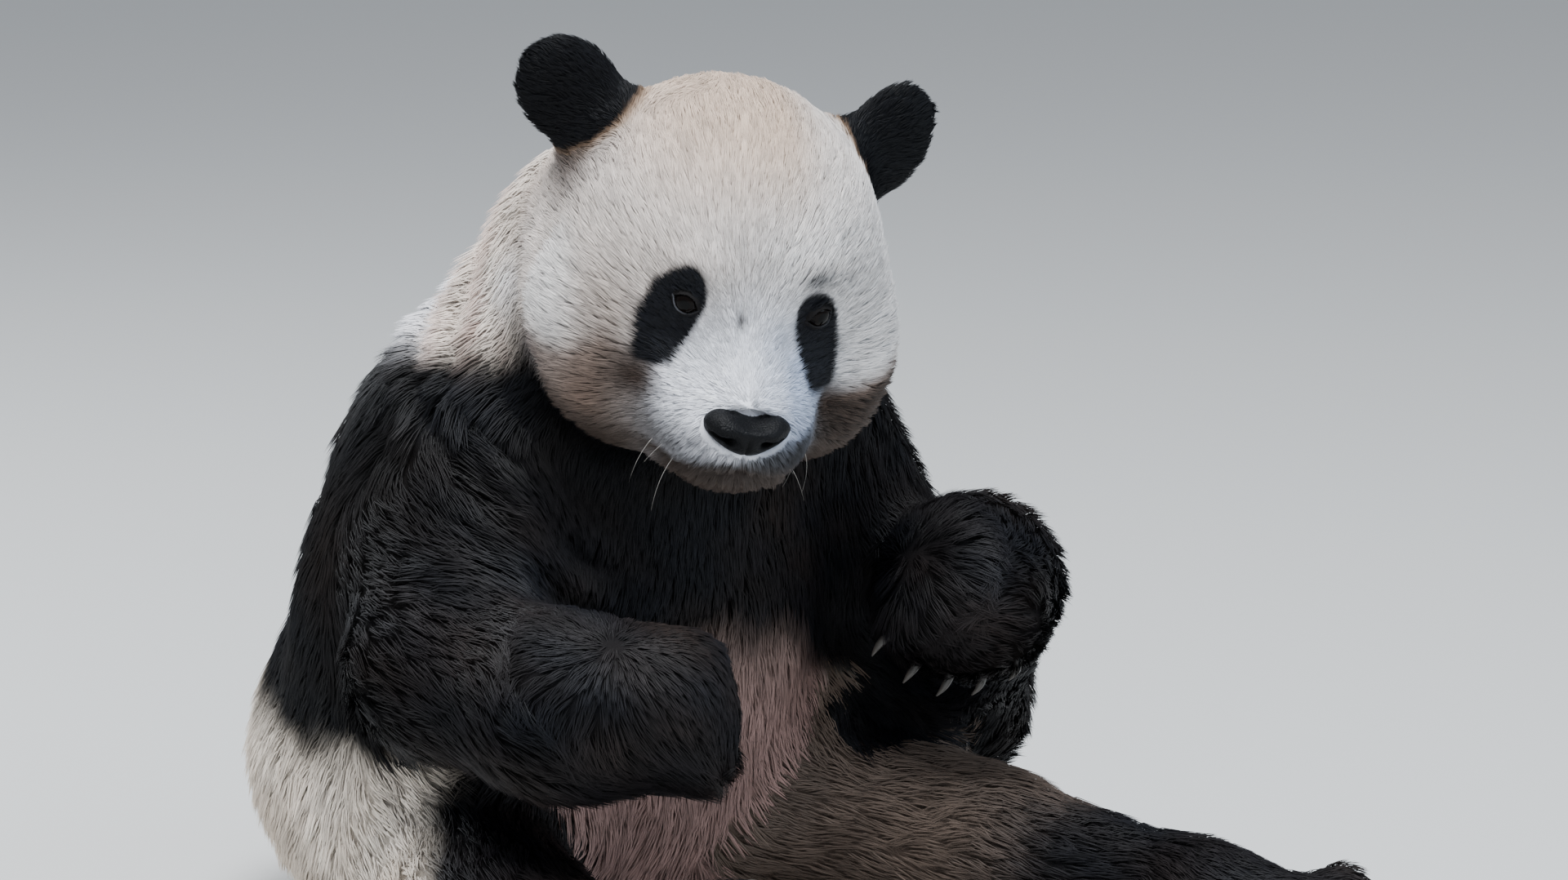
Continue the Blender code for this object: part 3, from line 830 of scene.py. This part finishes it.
# The pieces of the coat, each with the most tufts that it has room for.
PIECES = {
    "coat_face_left": 30000,
    "coat_face_right": 31000,
    "coat_head_left": 15000,
    "coat_head_right": 13000,
    "coat_ears": 10500,
    "coat_neck": 16500,
    "coat_chest": 17000,
    "coat_belly": 13000,
    "coat_seat": 23000,
    "coat_arm_left": 23000,
    "coat_arm_right": 25000,
    "coat_leg_left": 16500,
    "coat_leg_right": 14500,
}
PIECE_OF_KIND = {
    "head": "head",
    "ear": "ears",
    "neck": "neck",
    "chest": "chest",
    "abdomen": "belly",
    "pelvis": "seat",
    "tail": "seat",
    "upper_arm": "arm",
    "forearm": "arm",
    "hand": "arm",
    "thigh": "leg",
    "shin": "leg",
    "foot": "leg",
}


def piece_of(node, local):
    """The names of the coat pieces that places on a node belong to."""
    name = "coat_" + PIECE_OF_KIND[kind(node)]
    if name == "coat_head":
        part = np.where(local[:, 1] < -0.045, "coat_face", "coat_head")
        side = np.where(local[:, 0] > 0, "_left", "_right")
        return np.char.add(part, side)
    if name in ("coat_arm", "coat_leg"):
        name += node[node.rindex("_"):]
    return np.full(len(local), name)


def roots_on(mesh, fields, rng):
    """Random places on the skin, as many as the coat's density asks for and each piece
    has room for: their triangles' corners, weights of the corners, and pieces."""
    tris, points = triangles(mesh), coordinates(mesh)
    corners = points[tris]
    ab, ac = corners[:, 1] - corners[:, 0], corners[:, 2] - corners[:, 0]
    area = norm(np.cross(ab, ac)) / 2
    middle_local = in_head(corners.mean(1))
    owner = fields["nodes"][tris[:, 0]]
    piece = np.empty(len(tris), "U20")
    for i, node in enumerate(FLESH):
        here = owner == i
        piece[here] = piece_of(node, middle_local[here])
    wanted = area * fields["coat"][tris, DENSITY].mean(1) * fields["bald"][tris].min(1)
    for name, most in PIECES.items():
        here = piece == name
        total = wanted[here].sum()
        wanted[here] *= min(1, most / max(total, 1))
    count = np.floor(wanted + rng.random(len(wanted))).astype(int)
    chosen = np.repeat(np.arange(len(tris)), count)
    a, b = rng.random((2, len(chosen)))
    over = a + b > 1
    a, b = np.where(over, 1 - a, a), np.where(over, 1 - b, b)
    weights = np.stack([1 - a - b, a, b], 1)
    return tris[chosen], weights, piece[chosen]


def blended(field, corners, weights):
    """A field of the skin's vertices at places between them."""
    return np.einsum("ij,ij...->i...", weights, field[corners])


def gathered(roots, middles, tips, lengths, rng):
    """Draws tufts towards a few of their neighbours, so that the coat lies in locks."""
    few = rng.choice(len(roots), max(len(roots) // 14, 1), replace=False)
    tree = KDTree(len(few))
    for i, point in enumerate(roots[few]):
        tree.insert(point, i)
    tree.balance()
    nearest = few[np.array([tree.find(p)[1] for p in roots])]
    gap = norm(roots - roots[nearest])
    pull = (0.55 * rise(0.9, 0.2, gap / lengths))[:, None]
    step = tips[nearest] - tips
    return middles + 0.35 * pull * step, tips + pull * step, nearest


def unwrapped(places, name):
    """Places round and along a piece's own shape, as a square map from 0.01 to 0.99."""
    if name.startswith(("coat_face", "coat_head", "coat_ears")):
        local = in_head(places) - (0, -0.02, 0)
        x, y, z = local.T
        flat = np.stack([np.arctan2(x, np.hypot(z, 0.3 * y)), np.arctan2(z, -y)], 1)
        if name == "coat_ears":
            flat = np.stack([x, z + 0.6 * y], 1)
    else:
        offset = places - places.mean(0)
        if name.startswith(("coat_arm", "coat_leg")):
            axis = np.linalg.svd(offset[::7], full_matrices=False)[2][0]
        else:
            axis = np.array([0.0, 0.0, 1.0])
        side = unit(np.cross(axis, (0.31, 0.17, 0.02) if abs(axis[0]) < 0.9 else (0, 1, 0)))
        other = np.cross(axis, side)
        flat = np.stack([np.arctan2(offset @ side, offset @ other), offset @ axis], 1)
    low, high = flat.min(0), flat.max(0)
    return 0.01 + 0.98 * (flat - low) / (high - low)


def blackness(colours):
    """1 for black fur and 0 for the paler kinds."""
    return rise(0.060, 0.020, colours.mean(-1))


# A tuft's corners are its root, three round its middle, and its tip.
RING = np.array([[1.0, -0.3], [0.0, 0.6], [-1.0, -0.3]])
TUFT_FACES = np.array([[0, 2, 1], [0, 3, 2], [0, 1, 3], [1, 2, 4], [2, 3, 4], [3, 1, 4]])
TUFT_MAP = np.array([[0, -1], [-1, 0], [0, 0.2], [1, 0], [0, 1]]) * 0.0015
# How light the corners are, for pale fur and for black fur: painted shade at the root, deep in
# the coat, and lighter tips, a painted highlight on black fur, whose tips catch the light.
PALE_LIGHT = np.array([0.55, 0.95, 0.95, 0.95, 1.10])
BLACK_LIGHT = np.array([0.45, 0.85, 0.85, 0.85, 2.4])


def tuft_mesh(name, roots, middles, tips, ups, widths, colours, tip_colours, shades):
    """One mesh of closed tufts, each a bent spindle of three sides, with their tint and
    their places on OFBake."""
    count = len(roots)
    along = unit(tips - roots)
    side = unit(np.cross(ups, along))
    lift = np.cross(along, side)
    corners = np.empty((count, 5, 3))
    corners[:, 0] = roots
    for k, (s, n) in enumerate(RING):
        corners[:, 1 + k] = middles + (side * s + lift * n) * (widths * 0.5)[:, None]
    corners[:, 4] = tips
    faces = (TUFT_FACES + 5 * np.arange(count)[:, None, None]).reshape(-1, 3)
    mesh = bpy.data.meshes.new(name)
    mesh.vertices.add(count * 5)
    mesh.vertices.foreach_set("co", corners.ravel())
    mesh.loops.add(len(faces) * 3)
    mesh.loops.foreach_set("vertex_index", faces.ravel())
    mesh.polygons.add(len(faces))
    mesh.polygons.foreach_set("loop_start", np.arange(0, len(faces) * 3, 3))
    mesh.polygons.foreach_set("loop_total", np.full(len(faces), 3))
    mesh.update(calc_edges=True)
    smooth_shaded(mesh)
    lit = np.repeat(ups[:, None], 5, 1) * 0.50
    for k, (s, n) in enumerate(RING):
        lit[:, 1 + k] += 0.50 * (side * s + lift * n)
    mesh.normals_split_custom_set_from_vertices(unit(lit).reshape(-1, 3).tolist())
    tint = np.repeat(colours[:, None], 5, 1)
    tint[:, 4] = tip_colours
    black = blackness(tint)
    # painted shade at each tuft's root and, on black fur, a painted highlight at its tip
    light = PALE_LIGHT * (1 - black) + BLACK_LIGHT * black
    tint *= (light * shades[:, None])[:, :, None]
    set_tint(mesh, tint.reshape(-1, 3))
    flat = unwrapped(roots, name)[:, None] + TUFT_MAP
    layer = mesh.uv_layers.new(name="OFBake")
    layer.data.foreach_set("uv", flat.reshape(-1, 2)[faces.ravel()].ravel())
    return new_object(name, mesh)


def grow_coat(skin, fields):
    """Tufts over the whole skin, in pieces."""
    rng = np.random.default_rng(7)
    mesh = skin.data
    corners, weights, piece = roots_on(mesh, fields, rng)
    points = coordinates(mesh)
    roots = blended(points, corners, weights)
    ups = unit(blended(fields["ways"], corners, weights))
    lie = blended(fields["lie"], corners, weights)
    lie = unit(lie - (lie * ups).sum(1, keepdims=True) * ups)
    coat = blended(fields["coat"], corners, weights)
    owners = fields["nodes"][corners[:, 0]]
    count = len(roots)
    neat = coat[:, STEEPNESS] < NEAT_STEEPNESS
    turn = (rng.normal(0, 1, count) * np.where(neat, 0.10, 0.17))[:, None]
    lie = lie * np.cos(turn) + np.cross(ups, lie) * np.sin(turn)
    lengths = coat[:, LENGTH] * rng.uniform(0.72, 1.18, count)
    rises = coat[:, STEEPNESS] * rng.uniform(0.65, 1.3, count)
    widths = coat[:, WIDTH] * rng.uniform(0.75, 1.2, count)
    start, end = (1.45 * rises)[:, None], (0.40 * rises)[:, None]
    first, second = (0.4 * lengths)[:, None], (0.6 * lengths)[:, None]
    sunk = roots - ups * ROOT_DEPTH
    middles = sunk + first * (np.cos(start) * lie + np.sin(start) * ups)
    tips = middles + second * (np.cos(end) * lie + np.sin(end) * ups)
    tips[:, 2] -= 0.05 * lengths
    middles, tips, lock = gathered(sunk, middles, tips, lengths, rng)
    # the colours are taken at places drawn back to the skin's level
    sink = 0.5 * coat[:, [DEPTH]] * ups
    tint = tint_of(0.25 * roots + 0.45 * middles + 0.30 * tips - 0.8 * sink, owners)
    tip_tint = tint_of(0.20 * middles + 0.80 * tips - sink, owners)
    for ends in (middles, tips):
        ends[:, 2] = np.maximum(ends[:, 2], TUFT_FLOOR)
    vary = rng.uniform(-1, 1, count)
    vary = 0.7 * vary + 0.8 * vary[lock] + 0.5 * ripple(roots, 0.02, 41)
    shades = np.maximum(1 + vary * (0.19 + 0.08 * blackness(tint)), 0.35)
    parts = (sunk, middles, tips, ups, widths, tint, tip_tint, shades)
    return [tuft_mesh(name, *(part[piece == name] for part in parts)) for name in PIECES]


# ---- eyes, nose, claws, whiskers


def make_eye(eye):
    """An eyeball with its cornea, and iris and pupil by colour."""
    bm, around = ball(5)
    front = around[:, 2]
    radius = EYE_RADIUS + 0.0009 * rise(0.74, 0.90, front)
    place = around * radius[:, None]
    axes = np.stack([eye["along"], np.cross(eye["out"], eye["along"]), eye["out"]], 1)
    for v, p in zip(bm.verts, place @ axes.T + eye["centre"]):
        v.co = p
    ring = np.arccos(np.clip(front, -1, 1))
    colour = mix(EYE_WHITE, IRIS, rise(0.86, 0.74, ring))
    colour = mix(colour, PUPIL, rise(0.34, 0.26, ring))
    return finished(f"eyeball_{eye['side']}", bm, colour)


def make_nose():
    """A broad wet nose, dipped where the fur comes down, with comma-shaped nostrils."""
    bm, around = ball(6)
    x, y, z = around.T
    side = np.abs(x)
    half_wide, half_deep, above, below = NOSE_SIZE
    px = half_wide * np.sign(x) * side**0.84 * (1 - 0.44 * rise(0.25, -1.0, z))
    pz = np.where(z > 0, above * np.abs(z) ** 0.70, -below * np.abs(z) ** 0.90)
    pz = pz - rise(0, 1, z) * 0.0082 * bell(x - 0.08, 0.42)
    py = half_deep * y * (1 - 0.22 * side**2)
    p = np.stack([px, py, pz], 1)
    front = rise(0.15, -0.35, y)
    s = np.abs(px)
    hole = spot(s, pz, (0.0150, -0.0050), (0.0046, 0.0040))
    slit_z = -0.0050 + 0.0060 * rise(0.015, 0.032, s) - 0.0020 * rise(0.020, 0.027, s)
    slit = bell(pz - slit_z, 0.0018) * rise(0.013, 0.018, s) * rise(0.035, 0.029, s)
    wing = spot(s, pz, (0.0230, 0.0045), (0.0075, 0.0050))
    p[:, 1] += front * (0.0085 * hole + 0.0050 * slit - 0.0020 * wing)
    groove = bell(px, 0.0013) * rise(0.004, -0.003, pz)
    p[:, 1] += 0.0022 * groove * front
    p[:, 1] += 0.0012 * bell(px, 0.006) * front * rise(-0.004, 0.008, pz)
    for v, q in zip(bm.verts, out_of_head(p + NOSE_IN_HEAD)):
        v.co = q
    # painted shade in the nostrils, their slits and the middle groove
    dark = 1 - 0.75 * np.clip(hole + slit + 0.6 * groove, 0, 1) * front
    return finished("nose_leather", bm, LEATHER * dark[:, None])


def tube(bm, path, radii, sides):
    """A closed round tube that tapers along a path."""
    rings = []
    forward = unit(path[-1] - path[0])
    side = unit(np.cross(forward, (0.2, 0.1, 1.0)))
    up = np.cross(side, forward)
    for centre, radius in zip(path, radii):
        turn = np.arange(sides) * math.tau / sides
        ring = centre + radius * (np.cos(turn)[:, None] * side + np.sin(turn)[:, None] * up)
        rings.append([bm.verts.new(p) for p in ring])
    for low, high in zip(rings, rings[1:]):
        for i in range(sides):
            j = (i + 1) % sides
            bm.faces.new((low[i], low[j], high[j], high[i]))
    bm.faces.new(rings[0][::-1])
    bm.faces.new(rings[-1])


def make_claws(paw, nodes):
    """The five claws of a paw: pale horn, thick at the root, hooked and blunt."""
    bm = bmesh.new()
    colours = []
    for node in nodes:
        root, tip, way = claw_axis(node)
        top = unit(root - middle(paw) - way * ((root - middle(paw)) @ way))
        t = np.linspace(0, 1, 13)[:, None]
        path = root - way * 0.004 + (0.60 * (tip - root) + way * 0.003) * t
        path = path + top * (0.0035 * np.sin(math.pi * t))
        radii = CLAW_RADIUS * (1 - t[:, 0] ** 1.7) + 0.0006
        tube(bm, path, radii, CLAW_SIDES)
        colours.append(np.repeat(mix(HORN_ROOT, HORN_TIP, t[:, 0]), CLAW_SIDES, 0))
    bmesh.ops.recalc_face_normals(bm, faces=bm.faces)
    return finished(f"claws_{paw}", bm, np.concatenate(colours))


def make_whiskers():
    """Four stiff pale hairs on each side of the upper lip."""
    rng = np.random.default_rng(3)
    bm = bmesh.new()
    for side in (-1, 1):
        for row, longest in enumerate(WHISKER_LENGTHS):
            start = np.array([side * (0.036 + 0.010 * row), -0.184 + 0.012 * row, -0.074])
            start[2] -= rng.uniform(0, 0.012)
            way = unit(np.array([side * rng.uniform(0.0, 1.3), rng.uniform(-0.5, 0.2), -0.6]))
            length = longest * rng.uniform(0.7, 1.1)
            t = np.linspace(0, 1, 10)[:, None]
            droop = np.array([side * rng.uniform(-0.4, 0.1), 0.15, -0.35])
            path = start + way * length * t + droop * length * t**2
            tube(bm, out_of_head(path), WHISKER_RADIUS * (1 - 0.85 * t[:, 0]), 5)
    bmesh.ops.recalc_face_normals(bm, faces=bm.faces)
    return finished("whiskers", bm, np.tile(WHISKER, (len(bm.verts), 1)))


# ---- materials


def material(name, bump, scale, roughness, mottle=0.16, **sockets):
    """Colour from tint with fine mottling, bumped by noise in the object's own place."""
    made = bpy.data.materials.new(name)
    made.use_nodes = True
    nodes, links = made.node_tree.nodes, made.node_tree.links
    shader = nodes["Principled BSDF"]
    for socket, value in sockets.items():
        shader.inputs[socket.replace("_", " ")].default_value = value
    tint = nodes.new("ShaderNodeAttribute")
    tint.attribute_name = "tint"
    place = nodes.new("ShaderNodeTexCoord")
    noise = nodes.new("ShaderNodeTexNoise")
    noise.inputs["Scale"].default_value = scale
    noise.inputs["Detail"].default_value = 4
    links.new(place.outputs["Object"], noise.inputs["Vector"])

    def noise_about(value, share):
        """The noise, brought to lie round a value."""
        brought = nodes.new("ShaderNodeMapRange")
        brought.inputs["To Min"].default_value = value - share
        brought.inputs["To Max"].default_value = value + share
        links.new(noise.outputs["Fac"], brought.inputs["Value"])
        return brought.outputs["Result"]

    colour = nodes.new("ShaderNodeVectorMath")
    colour.operation = "SCALE"
    links.new(tint.outputs["Color"], colour.inputs[0])
    links.new(noise_about(1, mottle), colour.inputs["Scale"])
    links.new(colour.outputs["Vector"], shader.inputs["Base Color"])
    links.new(noise_about(roughness, 0.08), shader.inputs["Roughness"])
    if bump:
        raised = nodes.new("ShaderNodeBump")
        raised.inputs["Distance"].default_value = bump
        links.new(noise.outputs["Fac"], raised.inputs["Height"])
        links.new(raised.outputs["Normal"], shader.inputs["Normal"])
    return made


def dress(obj, finish, slot, *nodes):
    """Gives a visible piece its material and body, and hides the nodes that it replaces; slot is
    not used.
    """
    obj.data.materials.clear()
    obj.data.materials.append(finish)
    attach(obj, "root")
    if nodes:
        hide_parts(*nodes)


# ---- stage, lights, camera

FLOOR_COLOUR = (0.62, 0.62, 0.61, 1)
SKY_COLOUR = (0.80, 0.86, 0.95, 1)
SKY_STRENGTH = 0.55
LIT_PLACE = (0, -0.3, 0.45)
LIGHTS = (  # name, place, size, power in watts and colour
    ("key", (-1.5, -1.9, 5.5), 3.4, 600, (0.94, 0.97, 1.0)),
    ("fill", (1.9, -4.0, 2.6), 3.0, 90, (0.72, 0.86, 1.0)),
    ("rim", (-1.2, 3.4, 3.2), 2.0, 130, (0.92, 0.96, 1.0)),
)
AIM = Vector((0.10, -0.29, 0.457))
DISTANCE = 6.0
AZIMUTH, ELEVATION = math.radians(-38), math.radians(9)
FRAME_WIDTH = 1.3824  # metres across the picture at the aim
SENSOR_WIDTH = 36  # of the camera, in millimetres


def set_stage():
    bpy.ops.mesh.primitive_plane_add(size=60, location=(0, 0, 0))
    floor = bpy.context.object
    floor.name = "floor"
    finish = bpy.data.materials.new("floor")
    finish.use_nodes = True
    shader = finish.node_tree.nodes["Principled BSDF"]
    shader.inputs["Base Color"].default_value = FLOOR_COLOUR
    shader.inputs["Roughness"].default_value = 0.85
    floor.data.materials.append(finish)


def area_light(name, place, size, power, colour):
    """A round lamp that shines on LIT_PLACE."""
    data = bpy.data.lights.new(name, "AREA")
    data.shape = "DISK"
    data.size = size
    data.energy = power
    data.color = colour
    lamp = new_object(name, data)
    lamp.location = place
    shine = Vector(LIT_PLACE) - Vector(place)
    lamp.rotation_euler = shine.to_track_quat("-Z", "Y").to_euler()


def set_camera_and_light():
    data = bpy.data.cameras.new("camera")
    camera = new_object("camera", data)
    level = math.cos(ELEVATION)
    out = Vector((math.sin(AZIMUTH) * level, -math.cos(AZIMUTH) * level, math.sin(ELEVATION)))
    camera.location = AIM + out * DISTANCE
    camera.rotation_euler = (-out).to_track_quat("-Z", "Y").to_euler()
    data.sensor_width = SENSOR_WIDTH
    data.lens = SENSOR_WIDTH * DISTANCE / FRAME_WIDTH
    bpy.context.scene.camera = camera
    world = bpy.data.worlds.new("studio")
    world.use_nodes = True
    sky = world.node_tree.nodes["Background"]
    sky.inputs["Color"].default_value = SKY_COLOUR
    sky.inputs["Strength"].default_value = SKY_STRENGTH
    bpy.context.scene.world = world
    for light in LIGHTS:
        area_light(*light)


# ---- all together


def main():
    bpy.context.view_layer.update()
    skin, fields = make_skin()
    fur = material("fur", bump=0, scale=900, roughness=0.52, mottle=0.06, Specular_IOR_Level=0.14)
    hide = material("hide", bump=0.0006, scale=650, roughness=0.75, Specular_IOR_Level=0.10)
    set_tint(skin.data, fields["tint"])
    smooth_shaded(skin.data)
    dress(skin, hide, "coat_cream", *FLESH)
    for piece in grow_coat(skin, fields):
        slot = "coat_cream"
        if piece.name.startswith(("coat_arm", "coat_leg", "coat_ears", "coat_chest")):
            slot = "coat_black"
        elif piece.name == "coat_belly":
            slot = "coat_brown"
        dress(piece, fur, slot)
    wet = material("eye", bump=0, scale=300, roughness=0.12, mottle=0.02, Specular_IOR_Level=0.09)
    for eye in EYES:
        dress(make_eye(eye), wet, "eye", f"eye_{eye['side']}")
    leather = material("nose", bump=0.0010, scale=620, roughness=0.38, Specular_IOR_Level=0.13)
    dress(make_nose(), leather, "nose", "nose")
    horn = material("horn", bump=0.0002, scale=260, roughness=0.42)
    for paw in PAWS:
        nodes = [n for n in CLAWS if n.startswith(f"claw_{paw}_")]
        dress(make_claws(paw, nodes), horn, "horn", *nodes)
    bristle = material("bristle", bump=0, scale=500, roughness=0.5)
    dress(make_whiskers(), bristle, "coat_cream")
    set_stage()
    set_camera_and_light()


main()
